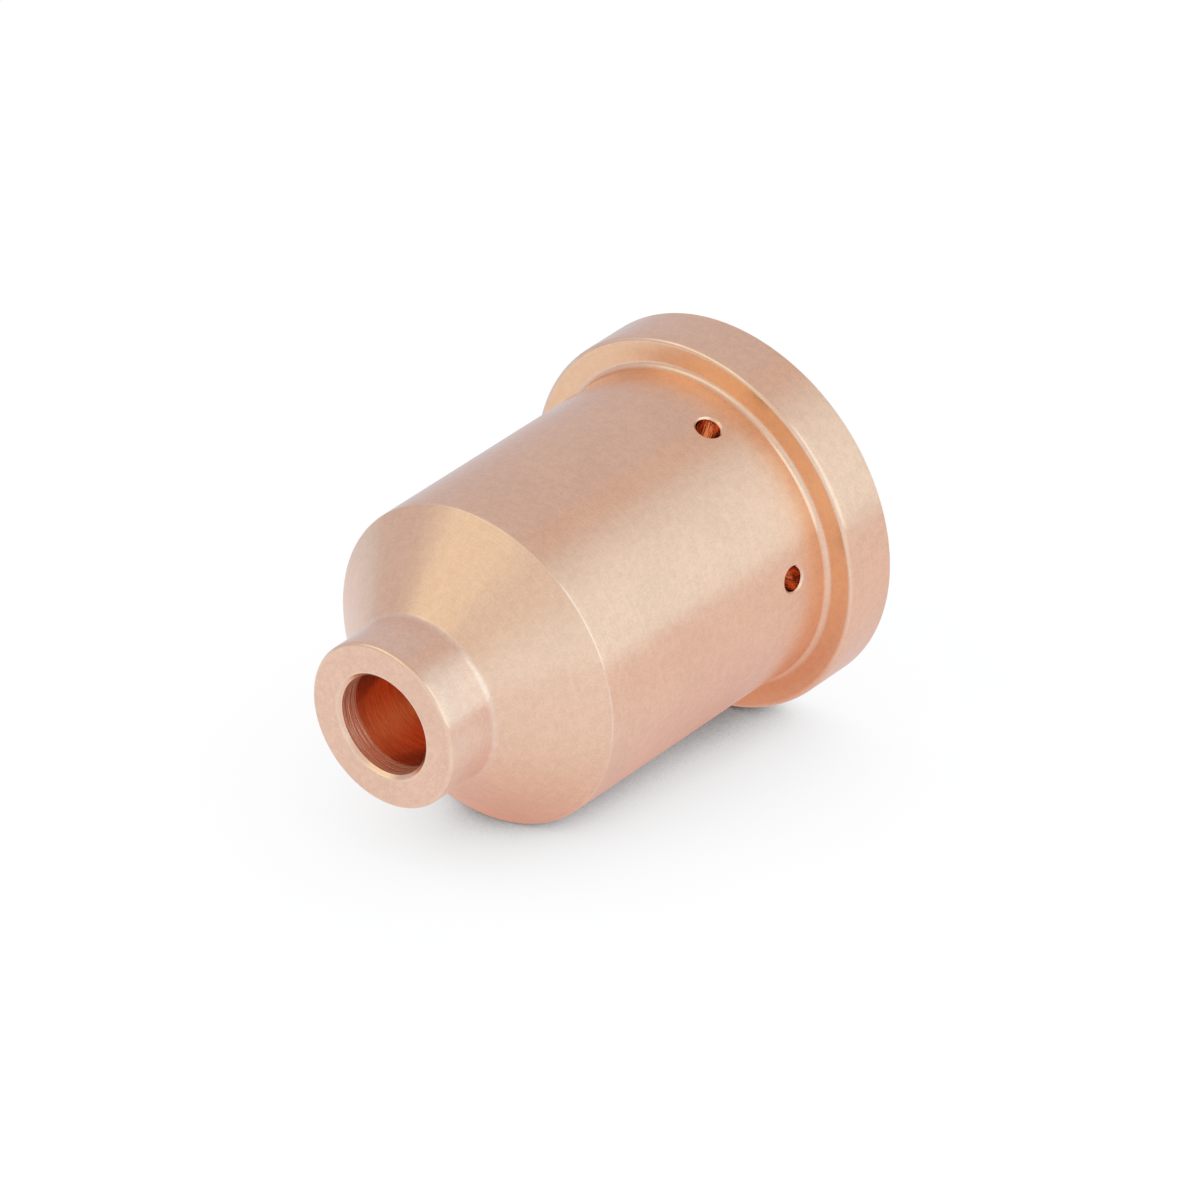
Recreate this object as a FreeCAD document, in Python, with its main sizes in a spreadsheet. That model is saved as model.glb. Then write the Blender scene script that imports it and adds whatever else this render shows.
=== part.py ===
# Plasma torch nozzle, turned from one piece of copper bar.
# It stands on its flange with the nose up. Lengths are in millimetres and angles in degrees.
# The origin is the centre of the flange's back face, and +Z runs along the axis to the nose.
import FreeCAD, Part
import os
import Sketcher

NODE = "nozzle"

# Driving dimensions. Heights are measured from the back face of the flange.
DIMENSIONS = {
    "flange_diameter": 22.0,
    "flange_thickness": 3.5,
    "body_diameter": 18.6,
    "body_end_height": 21.5,
    "nose_root_height": 25.8,
    "nose_diameter": 9.6,
    "total_length": 29.2,
    "flange_edge_radius": 0.3,
    "flange_back_break": 0.2,
    "flange_root_radius": 0.4,
    "shoulder_break": 0.1,
    "nose_root_radius": 0.5,
    "nose_edge_break": 0.15,
    "socket_diameter": 16.5,
    "socket_depth": 4.0,
    "socket_break": 0.3,
    "chamber_diameter": 13.0,
    "chamber_depth": 15.0,
    "chamber_floor_angle": 90.0,
    "orifice_diameter": 2.4,
    "bore_diameter": 5.75,
    "bore_depth": 6.0,
    "bore_floor_angle": 118.0,
    "bore_mouth_break": 0.2,
    "vent_diameter": 1.4,
    "vent_height": 6.2,
    "vent_count": 6,
    "vent_mouth_break": 0.12,
    "tool_overrun": 0.1,
}

# How close an edge must be to the size that it is looked up by.
EDGE_TOLERANCE = 1e-4


def make_sheet(doc):
    """Put each driving dimension in a cell that bears its name."""
    sheet = doc.addObject("Spreadsheet::Sheet", "sizes")
    for row, (name, value) in enumerate(DIMENSIONS.items(), start=1):
        sheet.set(f"A{row}", name)
        sheet.set(f"B{row}", str(value))
        sheet.setAlias(f"B{row}", name)
    doc.recompute()
    return sheet


def origin_feature(body, role):
    """The body's own base plane or axis of the given role."""
    for feature in body.Origin.OriginFeatures:
        if feature.Role == role:
            return feature
    raise RuntimeError(f"no origin feature {role}")


def value_of(obj, expression):
    """The number that an expression in the sheet's names gives."""
    return float(obj.evalExpression(expression))


def hold(sketch, kind, axis, seen, corner, expression):
    """Hold one coordinate of a corner: on the axis, level with an earlier corner, or at a size."""
    if expression == "0":
        sketch.addConstraint(Sketcher.Constraint("PointOnObject", corner, 1, axis))
    elif expression in seen:
        level = "Vertical" if kind == "DistanceX" else "Horizontal"
        sketch.addConstraint(Sketcher.Constraint(level, seen[expression], 1, corner, 1))
    else:
        size = value_of(sketch, expression)
        index = sketch.addConstraint(Sketcher.Constraint(kind, -1, 1, corner, 1, size))
        sketch.setExpression(f"Constraints[{index}]", expression)
        seen[expression] = corner


def section_sketch(body, name, corners):
    """A closed half section in the XZ plane. Each corner is a radius and a height, as expressions."""
    sketch = body.newObject("Sketcher::SketchObject", name)
    sketch.AttachmentSupport = [(origin_feature(body, "XZ_Plane"), "")]
    sketch.MapMode = "FlatFace"
    points = [FreeCAD.Vector(value_of(sketch, r), value_of(sketch, z), 0) for r, z in corners]
    count = len(points)
    for i in range(count):
        sketch.addGeometry(Part.LineSegment(points[i], points[(i + 1) % count]), False)
    for i in range(count):
        sketch.addConstraint(Sketcher.Constraint("Coincident", i, 2, (i + 1) % count, 1))
    radii = {}
    heights = {}
    for i, (r, z) in enumerate(corners):
        hold(sketch, "DistanceX", -2, radii, i, r)
        hold(sketch, "DistanceY", -1, heights, i, z)
    return sketch


def turn(body, kind, name, sketch, axis="V_Axis"):
    """Turn a section all the way round an axis, to add or to cut metal."""
    feature = body.newObject(kind, name)
    feature.Profile = sketch
    feature.ReferenceAxis = (sketch, [axis])
    feature.Angle = 360
    sketch.Visibility = False
    body.Document.recompute()
    return feature


def ring_edge(feature, radius, height):
    """The name of the circular edge with this radius, square to the axis at this height."""
    for i, edge in enumerate(feature.Shape.Edges, start=1):
        curve = edge.Curve
        if not isinstance(curve, Part.Circle):
            continue
        same_radius = abs(curve.Radius - radius) < EDGE_TOLERANCE
        same_height = abs(curve.Center.z - height) < EDGE_TOLERANCE
        if same_radius and same_height:
            return f"Edge{i}"
    raise RuntimeError(f"no ring edge of radius {radius} at height {height}")


def dress(body, kind, name, radius, height, size):
    """Round or chamfer one ring edge. Radius, height and size are expressions."""
    base = body.Tip
    edge = ring_edge(base, value_of(base, radius), value_of(base, height))
    feature = body.newObject(kind, name)
    feature.Base = (base, [edge])
    feature.setExpression("Radius" if kind == "PartDesign::Fillet" else "Size", size)
    body.Document.recompute()
    return feature


def turn_outside(body):
    """Flange, body, cone and nose, turned as one outline, and then their edges."""
    flange_radius = "sizes.flange_diameter / 2"
    body_radius = "sizes.body_diameter / 2"
    nose_radius = "sizes.nose_diameter / 2"
    outline = section_sketch(body, "outside_section", [
        ("0", "0"),
        (flange_radius, "0"),
        (flange_radius, "sizes.flange_thickness"),
        (body_radius, "sizes.flange_thickness"),
        (body_radius, "sizes.body_end_height"),
        (nose_radius, "sizes.nose_root_height"),
        (nose_radius, "sizes.total_length"),
        ("0", "sizes.total_length"),
    ])
    turn(body, "PartDesign::Revolution", "outside", outline)
    fillet = "PartDesign::Fillet"
    chamfer = "PartDesign::Chamfer"
    dress(body, fillet, "flange_root", body_radius, "sizes.flange_thickness", "sizes.flange_root_radius")
    dress(body, fillet, "flange_edge", flange_radius, "sizes.flange_thickness", "sizes.flange_edge_radius")
    dress(body, chamfer, "flange_back", flange_radius, "0", "sizes.flange_back_break")
    dress(body, fillet, "shoulder", body_radius, "sizes.body_end_height", "sizes.shoulder_break")
    dress(body, fillet, "nose_root", nose_radius, "sizes.nose_root_height", "sizes.nose_root_radius")
    dress(body, chamfer, "nose_edge", nose_radius, "sizes.total_length", "sizes.nose_edge_break")


def bore_from_rear(body):
    """Seat for the swirl ring, chamber round the electrode, its coned floor and the orifice."""
    socket_radius = "sizes.socket_diameter / 2"
    chamber_radius = "sizes.chamber_diameter / 2"
    orifice_radius = "sizes.orifice_diameter / 2"
    floor_rise = f"({chamber_radius} - {orifice_radius}) / tan(sizes.chamber_floor_angle / 2 * 1 deg)"
    section = section_sketch(body, "rear_section", [
        ("0", "0"),
        (socket_radius, "0"),
        (socket_radius, "sizes.socket_depth"),
        (chamber_radius, "sizes.socket_depth"),
        (chamber_radius, "sizes.chamber_depth"),
        (orifice_radius, f"sizes.chamber_depth + {floor_rise}"),
        (orifice_radius, "sizes.total_length - sizes.bore_depth"),
        ("0", "sizes.total_length - sizes.bore_depth"),
    ])
    turn(body, "PartDesign::Groove", "rear_bores", section)
    dress(body, "PartDesign::Chamfer", "socket_mouth", socket_radius, "0", "sizes.socket_break")


def bore_from_front(body):
    """Wide straight bore in the nose, with the coned floor that a drill leaves."""
    bore_radius = "sizes.bore_diameter / 2"
    floor = "sizes.total_length - sizes.bore_depth"
    tip = f"{floor} - {bore_radius} / tan(sizes.bore_floor_angle / 2 * 1 deg)"
    section = section_sketch(body, "front_section", [
        ("0", tip),
        (bore_radius, floor),
        (bore_radius, "sizes.total_length"),
        ("0", "sizes.total_length"),
    ])
    turn(body, "PartDesign::Groove", "front_bore", section)
    dress(body, "PartDesign::Chamfer", "bore_mouth", bore_radius, "sizes.total_length",
          "sizes.bore_mouth_break")


def drill_vents(body):
    """One vent along +X with its mouth broken by a 90 degree countersink, then the ring of them."""
    surface = "sizes.body_diameter / 2"
    top = "sizes.vent_height + sizes.vent_diameter / 2"
    section = section_sketch(body, "vent_section", [
        ("0", "sizes.vent_height"),
        ("0", top),
        (f"{surface} - sizes.vent_mouth_break", top),
        (f"{surface} + sizes.tool_overrun", f"{top} + sizes.vent_mouth_break + sizes.tool_overrun"),
        (f"{surface} + sizes.tool_overrun", "sizes.vent_height"),
    ])
    start = FreeCAD.Vector(0, value_of(section, "sizes.vent_height"), 0)
    end = start + FreeCAD.Vector(value_of(section, surface), 0, 0)
    axis = section.addGeometry(Part.LineSegment(start, end), True)
    section.addConstraint(Sketcher.Constraint("Coincident", axis, 1, 0, 1))
    section.addConstraint(Sketcher.Constraint("Horizontal", axis))
    length = section.addConstraint(Sketcher.Constraint("DistanceX", axis, 1, axis, 2, end.x))
    section.setExpression(f"Constraints[{length}]", surface)
    vent = turn(body, "PartDesign::Groove", "vent", section, "Axis0")
    ring = body.newObject("PartDesign::PolarPattern", "vent_ring")
    ring.Originals = [vent]
    ring.Axis = (origin_feature(body, "Z_Axis"), [""])
    ring.Angle = 360
    ring.setExpression("Occurrences", "sizes.vent_count")
    body.Tip = ring
    body.Document.recompute()


def cut(step, body):
    """Do a cutting step, and stop if it left the volume as it was."""
    before = body.Shape.Volume
    step(body)
    if body.Shape.Volume > before - EDGE_TOLERANCE:
        raise RuntimeError(f"{step.__name__} cut nothing")


def check(doc, body):
    """Stop before anything is written if a feature failed or the solid isn't sound."""
    for obj in doc.Objects:
        if "Invalid" in obj.State or "Error" in obj.State:
            raise RuntimeError(f"{obj.Name} failed: {obj.State}")
    if body.Shape.isNull() or not body.Shape.isValid() or len(body.Shape.Solids) != 1:
        raise RuntimeError(f"{body.Label} isn't one valid solid")


def main():
    doc = FreeCAD.newDocument("plasma_nozzle")
    make_sheet(doc)
    body = doc.addObject("PartDesign::Body", NODE)
    body.Label = NODE
    body.Placement = FreeCAD.Placement()
    turn_outside(body)
    cut(bore_from_rear, body)
    cut(bore_from_front, body)
    cut(drill_vents, body)
    check(doc, body)
    os.makedirs("parts", exist_ok=True)
    body.Shape.exportStep(f"parts/{body.Label}.step")
    print(f"{body.Label}: {body.Shape.Volume:.2f} mm3, height {body.Shape.BoundBox.ZMax:.3f} mm")


main()
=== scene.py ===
# Plasma torch nozzle: the finish of the turned copper piece, its floor, its studio and the camera.
# The nozzle stands on its flange with the nose along +Z, and the camera looks at it the way the
# photograph does, where it lies on its side: the floor is a plane that touches the flange's edge and
# the body's shoulder. Lengths are in metres unless a name says otherwise.
from collections import namedtuple
import math
import bpy
from mathutils import Matrix, Vector


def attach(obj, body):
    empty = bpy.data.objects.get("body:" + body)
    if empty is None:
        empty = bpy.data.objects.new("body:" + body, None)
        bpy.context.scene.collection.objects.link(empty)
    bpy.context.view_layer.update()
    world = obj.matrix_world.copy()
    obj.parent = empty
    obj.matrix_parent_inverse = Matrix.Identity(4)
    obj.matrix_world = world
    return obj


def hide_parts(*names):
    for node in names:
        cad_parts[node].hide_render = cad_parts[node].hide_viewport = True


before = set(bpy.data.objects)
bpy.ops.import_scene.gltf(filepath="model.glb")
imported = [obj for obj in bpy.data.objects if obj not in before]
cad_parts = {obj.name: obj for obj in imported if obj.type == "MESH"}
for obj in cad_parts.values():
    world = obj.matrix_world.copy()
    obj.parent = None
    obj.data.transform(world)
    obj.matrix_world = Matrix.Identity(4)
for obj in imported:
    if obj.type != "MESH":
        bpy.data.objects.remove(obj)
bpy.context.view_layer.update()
MM = 0.001

# Sizes of the piece, as in the part.
FLANGE_RADIUS = 11.0 * MM
FLANGE_THICKNESS = 3.5 * MM
BODY_RADIUS = 9.3 * MM
BODY_END = 21.5 * MM
NOSE_ROOT = 25.8 * MM
NOSE_RADIUS = 4.8 * MM
TOTAL_LENGTH = 29.2 * MM
FLANGE_EDGE_RADIUS = 0.3 * MM
FLANGE_BACK_BREAK = 0.2 * MM
FLANGE_ROOT_RADIUS = 0.4 * MM
SHOULDER_BREAK = 0.1 * MM
NOSE_ROOT_RADIUS = 0.5 * MM
NOSE_EDGE_BREAK = 0.15 * MM
SOCKET_RADIUS = 8.25 * MM
SOCKET_DEPTH = 4.0 * MM
SOCKET_BREAK = 0.3 * MM
CHAMBER_RADIUS = 6.5 * MM
CHAMBER_DEPTH = 15.0 * MM
CHAMBER_FLOOR_ANGLE = math.radians(90)
ORIFICE_RADIUS = 1.2 * MM
BORE_RADIUS = 2.875 * MM
BORE_DEPTH = 6.0 * MM
BORE_FLOOR_ANGLE = math.radians(118)
BORE_MOUTH_BREAK = 0.2 * MM
VENT_RADIUS = 0.7 * MM
VENT_HEIGHT = 6.2 * MM
VENT_COUNT = 6
VENT_MOUTH_BREAK = 0.12 * MM

# The nose's edge is rounded here, and cuts the corner as deep as the part's chamfer does.
NOSE_EDGE_RADIUS = NOSE_EDGE_BREAK / (2 - math.sqrt(2))

# How finely the piece is meshed, and the angle from which its edges are shaded sharp.
TURNS = 360
ROUND_STEPS = 8
VENT_SIDES = 64
LONGEST_STEP = 0.7 * MM
SHARP_ANGLE = math.radians(24)

# How far a vent's cutter starts inside the chamber and ends outside the body.
CUTTER_INSIDE = 1.0 * MM
CUTTER_OUTSIDE = 0.5 * MM

# Where the zones of the nozzle part. A lean is how far a face looks to the nose, as its normal's Z, and
# outward is how far it looks away from the axis. The drops are below the bore's floor and the nose's root.
EDGE_LEAN = 0.05
TIP_LEAN = 0.9
FLAT_LEAN = 0.99
LEAST_OUTWARD = 0.01
VENT_WALL_MARGIN = 0.02 * MM
BORE_ZONE_DROP = 1.5 * MM
NOSE_ZONE_DROP = 0.15 * MM

# The photograph's view: where the camera stands as seen from the nozzle, and how it is turned.
CAMERA_AZIMUTH = math.radians(-24.13)
CAMERA_ELEVATION = math.radians(40.616)
CAMERA_DISTANCE = 0.47846
CAMERA_ROLL = math.radians(123.203)
AIM_RIGHT = 2.117 * MM
AIM_UP = 0.539 * MM
LENS_MM = 270.0
SENSOR_MM = 36.0
NEAREST_SEEN = 0.01
FARTHEST_SEEN = 10

# The side of the nozzle that the floor touches, as an angle from +X, and the gap left there.
FLOOR_SIDE = math.radians(-154.901)
FLOOR_SIZE = 0.6
FLOOR_GAP = 0.02 * MM

# The thin film on the copper, which pales its grazing edges.
COAT_WEIGHT = 0.3
COAT_ROUGHNESS = 0.25

# Copper's reflection straight on, and its copies for the other zones. The face's deeper orange is painted
# reflection of the body in it. The deeper copper of the bore's mouth, the bore and the vents is painted
# shade inside them, least deep at the mouth. The nose's copper is lighter and paler, and the tip's and the
# rear's are slightly darker.
COPPER = (0.95, 0.60, 0.40)
FACE_PAINTED_REFLECTION_COPPER = (0.99, 0.585, 0.345)
NOSE_COPPER = (0.98, 0.65, 0.47)
TIP_COPPER = (0.93, 0.58, 0.395)
MOUTH_PAINTED_SHADE_COPPER = (1.0, 0.53, 0.34)
BORE_PAINTED_SHADE_COPPER = (1.0, 0.385, 0.185)
VENT_PAINTED_SHADE_COPPER = (1.0, 0.45, 0.26)
REAR_COPPER = (0.95, 0.56, 0.38)
# Edge colour of handling's polish, made lighter still as a painted highlight.
WORN_HIGHLIGHT_COPPER = (0.98, 0.72, 0.54, 1.0)

# What each zone's cut leaves: the depth of its grain and of its lines and the lines' pitch in
# millimetres, how far its tones go either way, and how much of the tone is the lines'.
Finish = namedtuple(
    "Finish", "material colour roughness anisotropy grain_mm line_mm pitch_mm speckle line_share")
# The face's colour is painted reflection, and the bore's and the vents' colours are painted shade.
FINISHES = {
    "body": Finish("turned_copper", COPPER, 0.30, 0.72, 0.004, 0.001, 0.09, 0.07, 0.15),
    "face": Finish("faced_copper", FACE_PAINTED_REFLECTION_COPPER, 0.30, 0.72, 0.004, 0.001, 0.09, 0.07, 0.15),
    "cone": Finish("coned_copper", COPPER, 0.33, 0.78, 0.004, 0.001, 0.07, 0.07, 0.20),
    "edges": Finish("edge_copper", COPPER, 0.22, 0.60, 0.002, 0.001, 0.06, 0.06, 0.30),
    "nose": Finish("nose_copper", NOSE_COPPER, 0.31, 0.74, 0.006, 0.001, 0.08, 0.08, 0.15),
    "tip": Finish("tip_copper", TIP_COPPER, 0.31, 0.74, 0.006, 0.001, 0.08, 0.08, 0.15),
    "bore": Finish("bored_copper", BORE_PAINTED_SHADE_COPPER, 0.32, 0.70, 0.002, 0.008, 0.07, 0.18, 0.80),
    "vents": Finish("drilled_copper", VENT_PAINTED_SHADE_COPPER, 0.12, 0.0, 0.002, 0.055, 0.10, 0.20, 0.85),
    "rear": Finish("rear_copper", REAR_COPPER, 0.34, 0.70, 0.003, 0.006, 0.12, 0.08, 0.50),
}

# The copper's grain, clouds and slow mottle: how many come to a metre, their shares in the tone, and the
# noise's detail and roughness in the fine patterns and in the mottle.
GRAIN_SCALE = 8000.0
CLOUD_SCALE = 2200.0
MOTTLE_SCALE = 240.0
GRAIN_SHARE = 0.45
CLOUD_SHARE = 0.3
MOTTLE_SHARE = 0.25
FINE_DETAIL = 2.0
FINE_ROUGHNESS = 0.6
MOTTLE_DETAIL = 3.0
NOISE_MIDDLE = 0.5

# The run of the tone in which dark copper turns light, the run of the mottle in which it roughens and by
# how much either way, and the share of a full turn that lays the gloss across the lines.
TONE_START = 0.38
TONE_END = 0.62
ROUGHENING_START = 0.3
ROUGHENING_END = 0.7
ROUGHNESS_SPREAD = 0.03
GLOSS_TURN = 0.25

# Turning lines: how quickly they change on their way round, outside and in the bore, and how much more a
# step outwards counts than a step up in the length along the outline.
LINE_SWAY = 260.0
BORE_LINE_SWAY = 900.0
OUTWARD_WEIGHT = 1.3

# The streaks that a drill leaves along a vent, and how slowly they change along it.
STREAK_WIDTH = 0.22 * MM
STREAK_CHANGE = 0.15

# The bore's last cut: how deep it reaches from the nose's face, how softly it ends, its roughness, and
# its ridges, with the run of their height over which their colour goes from painted shade in the grooves
# to full.
FINISH_DEPTH = 1.31 * MM
FINISH_SOFTNESS = 0.03 * MM
MOUTH_ROUGHNESS = 0.46
RIDGE_PITCH = 0.115 * MM
RIDGE_DEPTH = 0.09 * MM
RIDGE_TONE_START = 0.33
RIDGE_TONE_END = 0.55

# Rings where handling's polish and a painted highlight lighten the edge, as radius and height, and how far
# they reach.
FLANGE_RING_INSET = 0.09 * MM
NOSE_RING_INSET = 0.07 * MM
WORN_HIGHLIGHT_RINGS = [
    (FLANGE_RADIUS - FLANGE_RING_INSET, FLANGE_THICKNESS - FLANGE_RING_INSET),
    (FLANGE_RADIUS, 0.0),
    (BODY_RADIUS, BODY_END),
    (NOSE_RADIUS - NOSE_RING_INSET, TOTAL_LENGTH - NOSE_RING_INSET),
    (BORE_RADIUS + BORE_MOUTH_BREAK, TOTAL_LENGTH),
]
WEAR_HIGHLIGHT_REACH = 0.13 * MM

# The polish and painted highlight are patchy: how many patches come to a metre, the run of the noise in
# which one starts, the share left between them, and how much the full mark lightens the colour, as polish
# and painted highlight, and lowers the roughness, as polish.
WEAR_HIGHLIGHT_PATCH_SCALE = 700.0
WEAR_HIGHLIGHT_PATCH_START = 0.35
WEAR_HIGHLIGHT_PATCH_END = 0.65
WEAR_HIGHLIGHT_LEAST = 0.35
WEAR_HIGHLIGHT_COLOUR = 0.7
WEAR_GLOSS = 0.08

# What the metal sees of the floor, which glows for it as painted light: on the right, on the left, lighter
# and bluer, at the back, darker, and close to the nozzle, where it is painted shade and copper-coloured
# bounce light, and the runs of the floor in which the left's and the back's colours take over.
FLOOR_RIGHT = (0.79, 0.765, 0.84, 1.0)
FLOOR_LEFT = (0.83, 0.90, 1.02, 1.0)
FLOOR_BACK = (0.66, 0.76, 0.89, 1.0)
# Painted shade and copper-coloured bounce light close to the nozzle.
FLOOR_NEAR_PAINTED_SHADE = (0.58, 0.26, 0.17, 1.0)
LEFT_START = -5 * MM
LEFT_END = 20 * MM
BACK_START = -10 * MM
BACK_END = 60 * MM

# Painted shade and copper-coloured bounce light on the floor under the nozzle: the run along the axis
# where it is full, and how it falls off.
PAINTED_SHADE_START = 5 * MM
PAINTED_SHADE_END = 15 * MM
PAINTED_SHADE_FALL = 8 * MM
PAINTED_SHADE_POWER = 1.5

# The floor's contact shadow: how far it looks for the nozzle and with how many rays, its wide soft part
# and its dark core, each with how quickly it clears, the share of the floor's light that is the studio's
# own, the strength that makes the rest of it white, and the paint that the studio lights.
SHADOW_REACH = 15 * MM
SHADOW_RAYS = 16
SOFT_SHADOW = 0.35
SOFT_POWER = 2.0
CORE_SHADOW = 2.4
CORE_POWER = 13.0
LIT_SHARE = 0.15
GLOW_STRENGTH = 1.065
FLOOR_PAINT = (0.9, 0.9, 0.9, 1.0)

# The background, and the floor's own colour away from the nozzle.
WHITE = (1.0, 1.0, 1.0, 1.0)

# The studio: the room's own colour, and its panels in the order that they are laid over it. Angles are
# in degrees: azimuth from the picture's right towards the back, elevation, half width, half height, and
# the width of the soft edge.
ROOM = (0.63, 0.63, 0.71, 1.0)
Panel = namedtuple("Panel", "azimuth elevation half_width half_height soft_edge colour")
PANELS = [
    Panel(-90, 30, 60, 30, 14, (0.77, 0.805, 0.845, 1.0)),
    Panel(-163, 37, 29, 13, 28, (1.08, 1.17, 1.05, 1.0)),
    Panel(-90, -2, 40, 18, 8, (0.81, 0.965, 1.13, 1.0)),
    Panel(32, 53, 26, 7, 12, (0.72, 0.61, 0.57, 1.0)),
    Panel(5, 24, 28, 32, 14, (0.77, 0.88, 1.00, 1.0)),
    Panel(-38, 20, 35, 32, 14, (1.06, 1.30, 1.50, 1.0)),
]


def polar(radius, angle, height):
    """The point at this distance from the axis, this angle from +X and this height."""
    return Vector((radius * math.cos(angle), radius * math.sin(angle), height))


def arc_corner(before, corner, after, radius, steps):
    """Points of the arc that rounds a corner between two straight runs."""
    a = (before - corner).normalized()
    b = (after - corner).normalized()
    half = a.angle(b) / 2
    reach = radius / math.tan(half)
    centre = corner + (a + b).normalized() * radius / math.sin(half)
    start = corner + a * reach - centre
    end = corner + b * reach - centre
    turn = start.angle(end)
    points = []
    for i in range(steps + 1):
        share = i / steps
        first = math.sin((1 - share) * turn)
        second = math.sin(share * turn)
        points.append(centre + (start * first + end * second) / math.sin(turn))
    return points


def profile_line(corners):
    """The section as a closed run of points. A corner is (radius, height, rounding, steps)."""
    spots = [Vector((r, z)) for r, z, rounding, steps in corners]
    line = []
    for i, (r, z, rounding, steps) in enumerate(corners):
        if rounding:
            line += arc_corner(spots[i - 1], spots[i], spots[(i + 1) % len(spots)], rounding, steps)
        else:
            line.append(spots[i])
    fine = []
    for i, point in enumerate(line):
        following = line[(i + 1) % len(line)]
        pieces = max(1, math.ceil((following - point).length / LONGEST_STEP))
        fine += [point.lerp(following, k / pieces) for k in range(pieces)]
    return fine


def section():
    """Half section of the nozzle, from the flange's back edge up the outside and down the bores."""
    bore_floor = TOTAL_LENGTH - BORE_DEPTH
    bore_drop = (BORE_RADIUS - ORIFICE_RADIUS) / math.tan(BORE_FLOOR_ANGLE / 2)
    chamber_rise = (CHAMBER_RADIUS - ORIFICE_RADIUS) / math.tan(CHAMBER_FLOOR_ANGLE / 2)
    return profile_line([
        (FLANGE_RADIUS - FLANGE_BACK_BREAK, 0, 0, 0),
        (FLANGE_RADIUS, FLANGE_BACK_BREAK, 0, 0),
        (FLANGE_RADIUS, FLANGE_THICKNESS, FLANGE_EDGE_RADIUS, ROUND_STEPS),
        (BODY_RADIUS, FLANGE_THICKNESS, FLANGE_ROOT_RADIUS, ROUND_STEPS),
        (BODY_RADIUS, BODY_END, SHOULDER_BREAK, ROUND_STEPS // 2),
        (NOSE_RADIUS, NOSE_ROOT, NOSE_ROOT_RADIUS, ROUND_STEPS),
        (NOSE_RADIUS, TOTAL_LENGTH, NOSE_EDGE_RADIUS, ROUND_STEPS),
        (BORE_RADIUS + BORE_MOUTH_BREAK, TOTAL_LENGTH, 0, 0),
        (BORE_RADIUS, TOTAL_LENGTH - BORE_MOUTH_BREAK, 0, 0),
        (BORE_RADIUS, bore_floor, 0, 0),
        (ORIFICE_RADIUS, bore_floor - bore_drop, 0, 0),
        (ORIFICE_RADIUS, CHAMBER_DEPTH + chamber_rise, 0, 0),
        (CHAMBER_RADIUS, CHAMBER_DEPTH, 0, 0),
        (CHAMBER_RADIUS, SOCKET_DEPTH, 0, 0),
        (SOCKET_RADIUS, SOCKET_DEPTH, 0, 0),
        (SOCKET_RADIUS, SOCKET_BREAK, 0, 0),
        (SOCKET_RADIUS + SOCKET_BREAK, 0, 0, 0),
    ])


def lathe(line, sides, name):
    """A closed ring of faces from a closed run of (radius, height) points turned about Z."""
    count = len(line)
    points = []
    for i in range(sides):
        angle = 2 * math.pi * i / sides
        points += [polar(spot.x, angle, spot.y) for spot in line]
    faces = []
    for i in range(sides):
        here = i * count
        there = ((i + 1) % sides) * count
        for k in range(count):
            up = (k + 1) % count
            faces.append((here + k, there + k, there + up, here + up))
    mesh = bpy.data.meshes.new(name)
    mesh.from_pydata(points, [], faces)
    mesh.validate()
    return mesh


def vent_cutters():
    """One mesh that holds the drill and its countersink for each vent."""
    start = CHAMBER_RADIUS - CUTTER_INSIDE
    cone_start = BODY_RADIUS - VENT_MOUTH_BREAK
    stop = BODY_RADIUS + CUTTER_OUTSIDE
    rings = [
        (start, VENT_RADIUS),
        (cone_start, VENT_RADIUS),
        (stop, VENT_RADIUS + stop - cone_start),
    ]
    points = []
    faces = []
    for vent in range(VENT_COUNT):
        turn = Matrix.Rotation(2 * math.pi * vent / VENT_COUNT, 3, "Z")
        base = len(points)
        for reach, radius in rings:
            for i in range(VENT_SIDES):
                angle = 2 * math.pi * i / VENT_SIDES
                spot = Vector((reach, radius * math.cos(angle), VENT_HEIGHT + radius * math.sin(angle)))
                points.append(turn @ spot)
        for ring in range(len(rings) - 1):
            for i in range(VENT_SIDES):
                following = (i + 1) % VENT_SIDES
                low = base + ring * VENT_SIDES
                high = low + VENT_SIDES
                faces.append((low + i, low + following, high + following, high + i))
        last = base + (len(rings) - 1) * VENT_SIDES
        faces.append(tuple(base + i for i in reversed(range(VENT_SIDES))))
        faces.append(tuple(last + i for i in range(VENT_SIDES)))
    mesh = bpy.data.meshes.new("vent_cutters")
    mesh.from_pydata(points, [], faces)
    mesh.validate()
    return mesh


def linked(name, mesh):
    """A new object in the scene."""
    obj = bpy.data.objects.new(name, mesh)
    bpy.context.scene.collection.objects.link(obj)
    return obj


def applied_mesh(obj):
    """The object's mesh with its modifiers applied."""
    depsgraph = bpy.context.evaluated_depsgraph_get()
    depsgraph.update()
    return bpy.data.meshes.new_from_object(obj.evaluated_get(depsgraph), depsgraph=depsgraph)


def make_nozzle():
    """The finely meshed nozzle, in place of the CAD node."""
    body = linked("nozzle_turned", lathe(section(), TURNS, "nozzle_turned"))
    cutter = linked("vent_cutters", vent_cutters())
    cut = body.modifiers.new("vents", "BOOLEAN")
    cut.operation = "DIFFERENCE"
    cut.solver = "EXACT"
    cut.object = cutter
    body.data = applied_mesh(body)
    body.modifiers.clear()
    bpy.data.objects.remove(cutter)
    body.data.shade_smooth()
    body.data.set_sharp_from_angle(angle=SHARP_ANGLE)
    weighted = body.modifiers.new("even_normals", "WEIGHTED_NORMAL")
    weighted.keep_sharp = True
    weighted.weight = 100
    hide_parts("nozzle")
    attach(body, "root")
    return body


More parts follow.
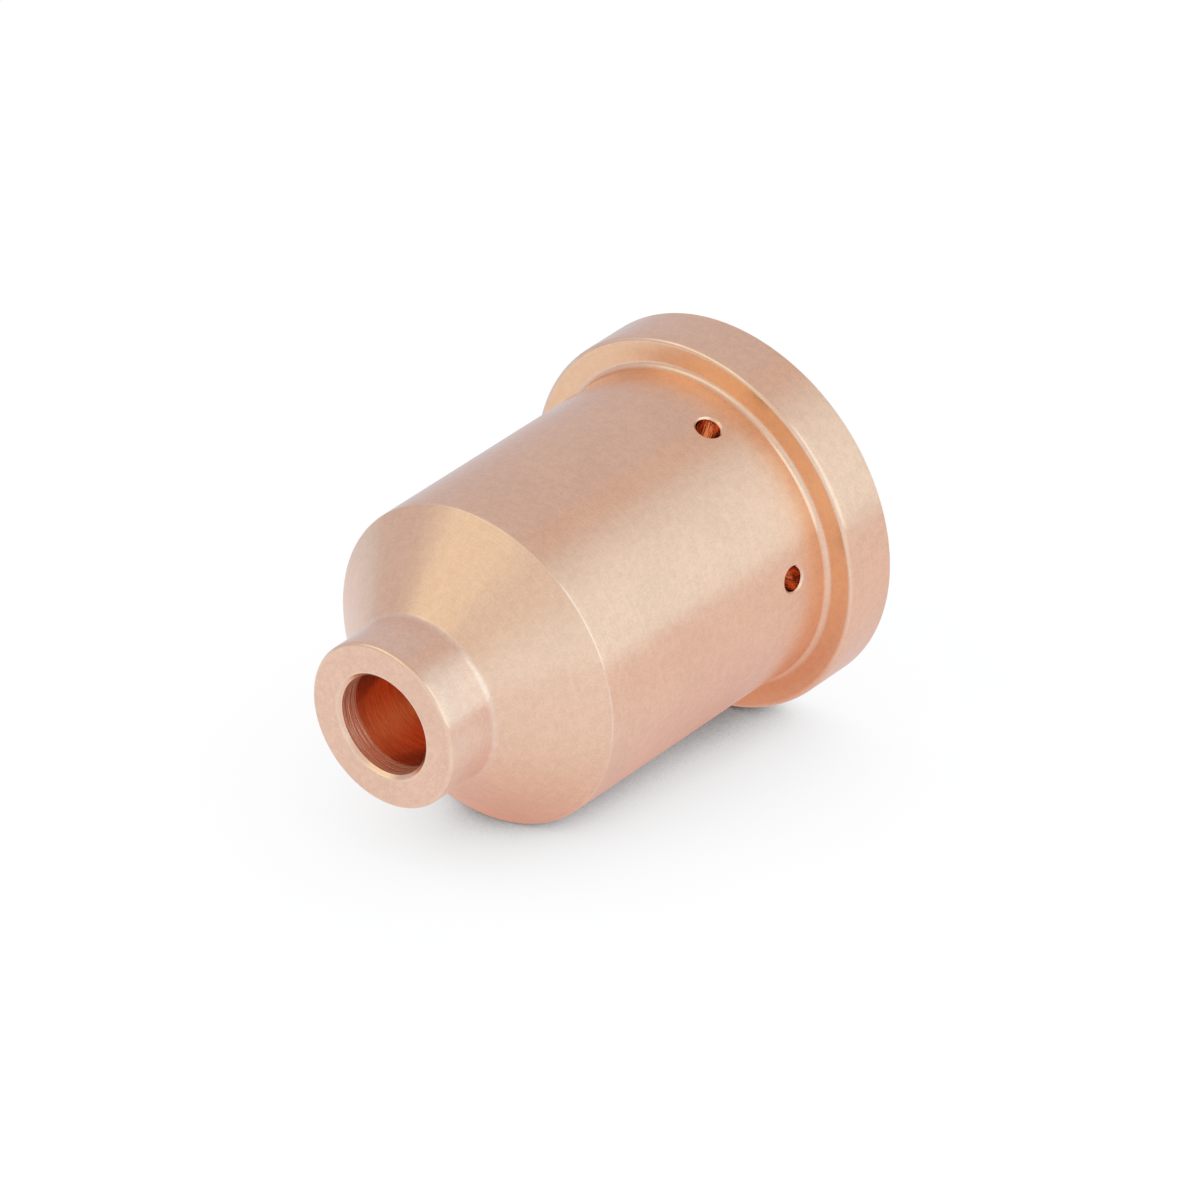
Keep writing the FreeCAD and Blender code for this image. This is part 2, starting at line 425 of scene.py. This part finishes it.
def camera_axes():
    """The camera's forward, right and up."""
    toward = Vector((
        math.cos(CAMERA_ELEVATION) * math.cos(CAMERA_AZIMUTH),
        math.cos(CAMERA_ELEVATION) * math.sin(CAMERA_AZIMUTH),
        math.sin(CAMERA_ELEVATION),
    ))
    forward = -toward
    level = forward.cross(Vector((0, 0, 1))).normalized()
    upright = level.cross(forward)
    roll = Matrix.Rotation(CAMERA_ROLL, 3, forward)
    return forward, roll @ level, roll @ upright


def make_camera():
    """The photograph's camera, level over the slanted floor."""
    forward, right, up = camera_axes()
    middle = Vector((0, 0, TOTAL_LENGTH / 2))
    data = bpy.data.cameras.new("camera")
    data.lens = LENS_MM
    data.sensor_width = SENSOR_MM
    data.clip_start = NEAREST_SEEN
    data.clip_end = FARTHEST_SEEN
    camera = linked("camera", data)
    axes = Matrix((right, up, -forward)).transposed().to_4x4()
    place = middle + right * AIM_RIGHT + up * AIM_UP - forward * CAMERA_DISTANCE
    camera.matrix_world = Matrix.Translation(place) @ axes
    bpy.context.scene.camera = camera


def floor_frame():
    """A point on the floor, and the floor's up, the picture's right and the way back, as unit vectors."""
    rim = polar(FLANGE_RADIUS, FLOOR_SIDE, FLANGE_THICKNESS - FLANGE_EDGE_RADIUS)
    shoulder = polar(BODY_RADIUS, FLOOR_SIDE, BODY_END)
    along = (shoulder - rim).normalized()
    across = polar(1, FLOOR_SIDE + math.pi / 2, 0)
    up = along.cross(across).normalized()
    if up.dot(polar(1, FLOOR_SIDE, 0)) > 0:
        up.negate()
    forward = camera_axes()[0]
    back = (forward - up * forward.dot(up)).normalized()
    side = back.cross(up).normalized()
    return rim, up, side, back


class Nodes:
    """Short ways to add nodes to a material or world."""

    def __init__(self, tree):
        self.tree = tree
        tree.nodes.clear()

    def add(self, kind, **settings):
        """A new node with these settings."""
        node = self.tree.nodes.new(kind)
        for name, value in settings.items():
            setattr(node, name, value)
        return node

    def put(self, value, socket):
        """Link a socket, or set a number or colour on it."""
        if isinstance(value, bpy.types.NodeSocket):
            self.tree.links.new(value, socket)
        else:
            socket.default_value = value

    def math(self, operation, *values):
        """What this operation makes of numbers."""
        node = self.add("ShaderNodeMath", operation=operation)
        for i, value in enumerate(values):
            self.put(value, node.inputs[i])
        return node.outputs[0]

    def vector(self, operation, *values):
        """What this operation makes of vectors."""
        node = self.add("ShaderNodeVectorMath", operation=operation)
        for i, value in enumerate(values):
            self.put(value, node.inputs[i])
        return node.outputs["Value"] if operation == "DOT_PRODUCT" else node.outputs["Vector"]

    def split(self, vector):
        """A vector's X, Y and Z."""
        node = self.add("ShaderNodeSeparateXYZ")
        self.put(vector, node.inputs[0])
        return node.outputs

    def join(self, x, y, z):
        """The vector of this X, Y and Z."""
        node = self.add("ShaderNodeCombineXYZ")
        for i, value in enumerate((x, y, z)):
            self.put(value, node.inputs[i])
        return node.outputs[0]

    def span(self, x, y):
        """The length of a step that goes x one way and y square to it."""
        squares = self.math("ADD", self.math("MULTIPLY", x, x), self.math("MULTIPLY", y, y))
        return self.math("SQRT", squares)

    def ramp(self, value, start, end, low=0.0, high=1.0):
        """Value carried from start..end onto low..high, smoothly and no further."""
        node = self.add("ShaderNodeMapRange", interpolation_type="SMOOTHSTEP")
        for i, number in enumerate((value, start, end, low, high)):
            self.put(number, node.inputs[i])
        return node.outputs[0]

    def mix(self, share, first, second):
        """A colour between two colours, which are the node's seventh and eighth inputs."""
        node = self.add("ShaderNodeMix", data_type="RGBA")
        self.put(share, node.inputs[0])
        self.put(first, node.inputs[6])
        self.put(second, node.inputs[7])
        return node.outputs[2]

    def noise(self, vector, scale, detail=FINE_DETAIL, roughness=0.5):
        """Smooth noise from 0 to 1."""
        node = self.add("ShaderNodeTexNoise")
        self.put(vector, node.inputs["Vector"])
        self.put(scale, node.inputs["Scale"])
        self.put(detail, node.inputs["Detail"])
        self.put(roughness, node.inputs["Roughness"])
        return node.outputs["Fac"]

    def shader(self, kind, colour):
        """A plain shader of one colour."""
        node = self.add(kind)
        self.put(colour, node.inputs["Color"])
        return node.outputs[0]

    def blend(self, share, first, second):
        """A shader between two shaders."""
        node = self.add("ShaderNodeMixShader")
        for i, value in enumerate((share, first, second)):
            self.put(value, node.inputs[i])
        return node.outputs[0]


def nozzle_zone(centre, normal):
    """Which cut left this face: its centre and normal tell."""
    radius = math.hypot(centre.x, centre.y)
    outward = (normal.x * centre.x + normal.y * centre.y) / radius
    in_wall = CHAMBER_RADIUS + VENT_WALL_MARGIN < radius < BODY_RADIUS - VENT_MOUTH_BREAK
    if in_wall and abs(centre.z - VENT_HEIGHT) < VENT_RADIUS + VENT_MOUTH_BREAK:
        return "vents"
    inside = outward < LEAST_OUTWARD and normal.z < TIP_LEAN
    if inside and centre.z < TOTAL_LENGTH - BORE_MOUTH_BREAK:
        return "bore" if centre.z > TOTAL_LENGTH - BORE_DEPTH - BORE_ZONE_DROP else "rear"
    if centre.z > NOSE_ROOT + NOSE_ROOT_RADIUS and EDGE_LEAN < normal.z < FLAT_LEAN:
        return "edges"
    if centre.z > NOSE_ROOT - NOSE_ZONE_DROP:
        return "tip" if normal.z > TIP_LEAN else "nose"
    if centre.z > BODY_END + SHOULDER_BREAK:
        return "cone"
    if normal.z > FLAT_LEAN:
        return "face"
    return "edges" if normal.z > EDGE_LEAN else "body"


def turned_coordinates(nodes):
    """The place on the piece, its radius, its height, and a length that grows along the outline."""
    place = nodes.add("ShaderNodeTexCoord").outputs["Object"]
    x, y, height = nodes.split(place)
    radius = nodes.span(x, y)
    outline = nodes.math("SUBTRACT", height, nodes.math("MULTIPLY", radius, OUTWARD_WEIGHT))
    return place, radius, height, outline


def turning_lines(nodes, place, outline, pitch, sway):
    """Fine rings round the axis. Sway is how quickly a ring changes on its way round."""
    x, y = nodes.split(place)[:2]
    rings = nodes.join(
        nodes.math("MULTIPLY", x, sway),
        nodes.math("MULTIPLY", y, sway),
        nodes.math("MULTIPLY", outline, 1 / pitch),
    )
    return nodes.noise(rings, 1.0, FINE_DETAIL, FINE_ROUGHNESS)


def drill_streaks(nodes, place, radius):
    """Streaks along each vent, as a drill leaves them."""
    x, y, height = nodes.split(place)
    turn = nodes.math("ARCTAN2", y, x)
    streaks = nodes.join(
        nodes.math("MULTIPLY", turn, BODY_RADIUS / STREAK_WIDTH),
        nodes.math("MULTIPLY", height, 1 / STREAK_WIDTH),
        nodes.math("MULTIPLY", radius, STREAK_CHANGE / STREAK_WIDTH),
    )
    return nodes.noise(streaks, 1.0, FINE_DETAIL, FINE_ROUGHNESS)


def wear_highlight_share(nodes, radius, height, place):
    """How far the copper is lightened as polish and painted highlight: full on the rings and broken up by
    noise.
    """
    nearest = None
    for ring_radius, ring_height in WORN_HIGHLIGHT_RINGS:
        out = nodes.math("SUBTRACT", radius, ring_radius)
        over = nodes.math("SUBTRACT", height, ring_height)
        distance = nodes.span(out, over)
        nearest = distance if nearest is None else nodes.math("MINIMUM", nearest, distance)
    patches = nodes.noise(place, WEAR_HIGHLIGHT_PATCH_SCALE)
    patchy = nodes.ramp(patches, WEAR_HIGHLIGHT_PATCH_START, WEAR_HIGHLIGHT_PATCH_END, WEAR_HIGHLIGHT_LEAST, 1.0)
    return nodes.math("MULTIPLY", nodes.ramp(nearest, WEAR_HIGHLIGHT_REACH, 0.0), patchy)


def shades(colour, darker, lighter):
    """A colour made darker and lighter by these shares."""
    dark = tuple(c * (1 - darker) for c in colour) + (1.0,)
    light = tuple(min(1.0, c * (1 + lighter)) for c in colour) + (1.0,)
    return dark, light


def bore_mouth(nodes, place, height, outline, speckle):
    """Where the bore's last cut is, its colour with painted shade in the ridges' grooves, and the height
    of its ridges.
    """
    start = TOTAL_LENGTH - FINISH_DEPTH
    at_mouth = nodes.ramp(height, start - FINISH_SOFTNESS, start + FINISH_SOFTNESS)
    ridges = turning_lines(nodes, place, outline, RIDGE_PITCH, LINE_SWAY)
    # Painted shade: the ridges' grooves are darker than their crests.
    dark, light = shades(MOUTH_PAINTED_SHADE_COPPER, speckle / 2, 0)
    colour = nodes.mix(nodes.ramp(ridges, RIDGE_TONE_START, RIDGE_TONE_END), dark, light)
    raised = nodes.math("MULTIPLY", nodes.math("SUBTRACT", ridges, NOISE_MIDDLE), at_mouth)
    return at_mouth, colour, raised


def relief(nodes, layers):
    """The normal that is left when each layer, a pattern and its depth, is laid over the last."""
    normal = None
    for pattern, depth in layers:
        bump = nodes.add("ShaderNodeBump")
        bump.inputs["Distance"].default_value = depth
        nodes.put(pattern, bump.inputs["Height"])
        if normal is not None:
            nodes.put(normal, bump.inputs["Normal"])
        normal = bump.outputs[0]
    return normal


def copper(zone, finish):
    """Satin turned copper: its grain, its turning lines, its mottle and its polished edges, lightened
    further as painted highlight.
    """
    material = bpy.data.materials.new(finish.material)
    material.use_nodes = True
    nodes = Nodes(material.node_tree)
    output = nodes.add("ShaderNodeOutputMaterial")
    shader = nodes.add("ShaderNodeBsdfPrincipled")
    place, radius, height, outline = turned_coordinates(nodes)
    grain = nodes.noise(place, GRAIN_SCALE, FINE_DETAIL, FINE_ROUGHNESS)
    clouds = nodes.noise(place, CLOUD_SCALE)
    mottle = nodes.noise(place, MOTTLE_SCALE, MOTTLE_DETAIL)
    if zone == "vents":
        lines = drill_streaks(nodes, place, radius)
    else:
        sway = BORE_LINE_SWAY if zone == "bore" else LINE_SWAY
        lines = turning_lines(nodes, place, outline, finish.pitch_mm * MM, sway)

    tone = nodes.math("MULTIPLY", lines, finish.line_share)
    for pattern, share in ((grain, GRAIN_SHARE), (clouds, CLOUD_SHARE), (mottle, MOTTLE_SHARE)):
        part = nodes.math("MULTIPLY", pattern, share * (1 - finish.line_share))
        tone = nodes.math("ADD", tone, part)
    # In the face this colour is painted reflection, and in the bore and the vents it is painted shade.
    dark, light = shades(finish.colour, finish.speckle, finish.speckle)
    base = nodes.mix(nodes.ramp(tone, TONE_START, TONE_END), dark, light)
    smoothest = finish.roughness - ROUGHNESS_SPREAD
    roughest = finish.roughness + ROUGHNESS_SPREAD
    rough = nodes.ramp(mottle, ROUGHENING_START, ROUGHENING_END, smoothest, roughest)
    layers = [(grain, finish.grain_mm * MM), (lines, finish.line_mm * MM)]
    if zone == "bore":
        at_mouth, mouth_colour, ridges = bore_mouth(nodes, place, height, outline, finish.speckle)
        base = nodes.mix(at_mouth, base, mouth_colour)
        rougher = nodes.math("MULTIPLY", at_mouth, MOUTH_ROUGHNESS - finish.roughness)
        rough = nodes.math("ADD", rough, rougher)
        layers.append((ridges, RIDGE_DEPTH))
    wear_highlight = wear_highlight_share(nodes, radius, height, place)
    # Polish and painted highlight: the edges turn towards the lighter worn colour and become glossier.
    base = nodes.mix(nodes.math("MULTIPLY", wear_highlight, WEAR_HIGHLIGHT_COLOUR), base, WORN_HIGHLIGHT_COPPER)
    rough = nodes.math("SUBTRACT", rough, nodes.math("MULTIPLY", wear_highlight, WEAR_GLOSS))

    tangent = nodes.add("ShaderNodeTangent", direction_type="RADIAL", axis="Z")
    nodes.put(base, shader.inputs["Base Color"])
    nodes.put(rough, shader.inputs["Roughness"])
    nodes.put(tangent.outputs[0], shader.inputs["Tangent"])
    nodes.put(relief(nodes, layers), shader.inputs["Normal"])
    shader.inputs["Metallic"].default_value = 1.0
    shader.inputs["Coat Weight"].default_value = 0.0 if zone == "vents" else COAT_WEIGHT
    shader.inputs["Coat Roughness"].default_value = COAT_ROUGHNESS
    shader.inputs["Anisotropic"].default_value = finish.anisotropy
    shader.inputs["Anisotropic Rotation"].default_value = GLOSS_TURN
    nodes.put(shader.outputs[0], output.inputs["Surface"])
    return material


def finish_nozzle(body):
    """Give each zone of the nozzle the finish that its cut leaves, in colours that paint reflection on the
    face and shade in the bore and the vents.
    """
    body.data.materials.clear()
    for zone, finish in FINISHES.items():
        body.data.materials.append(copper(zone, finish))
    order = list(FINISHES)
    for face in body.data.polygons:
        face.material_index = order.index(nozzle_zone(face.center, face.normal))


def mirrored_floor(nodes, spot, up, side, back):
    """What the metal sees of the floor: pale painted light, and close to the nozzle painted shade and
    copper-coloured bounce light.
    """
    position = nodes.add("ShaderNodeNewGeometry").outputs["Position"]
    place = nodes.vector("SUBTRACT", position, tuple(spot))
    along = (Vector((0, 0, 1)) - up * up.z).normalized()
    across = up.cross(along)
    lengthwise = nodes.vector("DOT_PRODUCT", place, tuple(along))
    sideways = nodes.vector("DOT_PRODUCT", place, tuple(across))
    middle = (PAINTED_SHADE_START + PAINTED_SHADE_END) / 2
    past = nodes.math("ABSOLUTE", nodes.math("SUBTRACT", lengthwise, middle))
    past = nodes.math("MAXIMUM", nodes.math("SUBTRACT", past, PAINTED_SHADE_END - middle), 0.0)
    distance = nodes.math("DIVIDE", nodes.span(past, sideways), PAINTED_SHADE_FALL)
    falling = nodes.math("MULTIPLY", nodes.math("POWER", distance, PAINTED_SHADE_POWER), -1.0)
    # Painted shade and bounce light: full under the nozzle and fading away from it.
    painted_shade_share = nodes.math("EXPONENT", falling)
    # Painted light on the floor: lighter to the left and darker at the back.
    leftness = nodes.vector("DOT_PRODUCT", place, tuple((-side - back).normalized()))
    far = nodes.mix(nodes.ramp(leftness, LEFT_START, LEFT_END), FLOOR_RIGHT, FLOOR_LEFT)
    behind = nodes.vector("DOT_PRODUCT", place, tuple(back))
    far = nodes.mix(nodes.ramp(behind, BACK_START, BACK_END), far, FLOOR_BACK)
    return nodes.shader("ShaderNodeEmission", nodes.mix(painted_shade_share, far, FLOOR_NEAR_PAINTED_SHADE))


def seen_floor(nodes):
    """What the camera sees of the floor: white, and darker the more of its sky the nozzle covers."""
    near = nodes.add("ShaderNodeAmbientOcclusion", samples=SHADOW_RAYS)
    near.inputs["Distance"].default_value = SHADOW_REACH
    covered = nodes.math("SUBTRACT", 1.0, near.outputs["AO"])
    soft = nodes.math("MULTIPLY", nodes.math("POWER", covered, SOFT_POWER), SOFT_SHADOW)
    core = nodes.math("MULTIPLY", nodes.math("POWER", covered, CORE_POWER), CORE_SHADOW)
    clear = nodes.math("SUBTRACT", 1.0, nodes.math("ADD", soft, core))
    clear = nodes.math("MAXIMUM", clear, 0.0)
    glow = nodes.add("ShaderNodeEmission")
    glow.inputs["Color"].default_value = WHITE
    nodes.put(nodes.math("MULTIPLY", clear, GLOW_STRENGTH), glow.inputs["Strength"])
    return nodes.blend(LIT_SHARE, glow.outputs[0], nodes.shader("ShaderNodeBsdfDiffuse", FLOOR_PAINT))


def make_floor():
    """Pale floor that touches the nozzle's underside. From below, the camera sees through it."""
    spot, up, side, back = floor_frame()
    half = FLOOR_SIZE / 2
    centre = spot - up * FLOOR_GAP
    corners = ((-1, -1), (1, -1), (1, 1), (-1, 1))
    points = [centre + side * right * half + back * away * half for right, away in corners]
    mesh = bpy.data.meshes.new("floor")
    mesh.from_pydata(points, [], [(0, 1, 2, 3)])
    floor = linked("floor", mesh)
    if mesh.polygons[0].normal.dot(up) < 0:
        mesh.flip_normals()
    material = bpy.data.materials.new("floor_white")
    material.use_nodes = True
    nodes = Nodes(material.node_tree)
    output = nodes.add("ShaderNodeOutputMaterial")
    glossy = nodes.add("ShaderNodeLightPath").outputs["Is Glossy Ray"]
    front = nodes.blend(glossy, seen_floor(nodes), mirrored_floor(nodes, spot, up, side, back))
    through = nodes.add("ShaderNodeBsdfTransparent").outputs[0]
    from_below = nodes.add("ShaderNodeNewGeometry").outputs["Backfacing"]
    nodes.put(nodes.blend(from_below, front, through), output.inputs["Surface"])
    mesh.materials.append(material)


def panel_share(nodes, heading, height, panel):
    """How much of this direction a panel covers: all of it inside, fading over its soft edge."""
    away = nodes.math("COSINE", nodes.math("SUBTRACT", heading, math.radians(panel.azimuth)))
    away = nodes.math("ARCCOSINE", away)
    rise = nodes.math("SUBTRACT", height, math.radians(panel.elevation))
    rise = nodes.math("ABSOLUTE", rise)
    reach = math.radians(panel.soft_edge) / 2
    wide = math.radians(panel.half_width)
    tall = math.radians(panel.half_height)
    sideways = nodes.ramp(away, wide + reach, wide - reach)
    upright = nodes.ramp(rise, tall + reach, tall - reach)
    return nodes.math("MULTIPLY", sideways, upright)


def make_world():
    """Plain studio: soft pale panels in a grey room. The camera sees white."""
    up, side, back = floor_frame()[1:]
    world = bpy.data.worlds.new("studio")
    bpy.context.scene.world = world
    world.use_nodes = True
    nodes = Nodes(world.node_tree)
    output = nodes.add("ShaderNodeOutputWorld")
    way = nodes.add("ShaderNodeTexCoord").outputs["Generated"]
    height = nodes.math("ARCSINE", nodes.vector("DOT_PRODUCT", way, tuple(up)))
    rightness = nodes.vector("DOT_PRODUCT", way, tuple(side))
    backness = nodes.vector("DOT_PRODUCT", way, tuple(back))
    heading = nodes.math("ARCTAN2", backness, rightness)
    colour = ROOM
    for panel in PANELS:
        colour = nodes.mix(panel_share(nodes, heading, height, panel), colour, panel.colour)
    lit = nodes.shader("ShaderNodeBackground", colour)
    white = nodes.shader("ShaderNodeBackground", WHITE)
    path = nodes.add("ShaderNodeLightPath")
    straight = nodes.math("MAXIMUM", path.outputs["Is Camera Ray"], path.outputs["Is Transmission Ray"])
    nodes.put(nodes.blend(straight, lit, white), output.inputs["Surface"])


nozzle = make_nozzle()
finish_nozzle(nozzle)
make_floor()
make_world()
make_camera()
bpy.context.scene.view_settings.view_transform = "Standard"
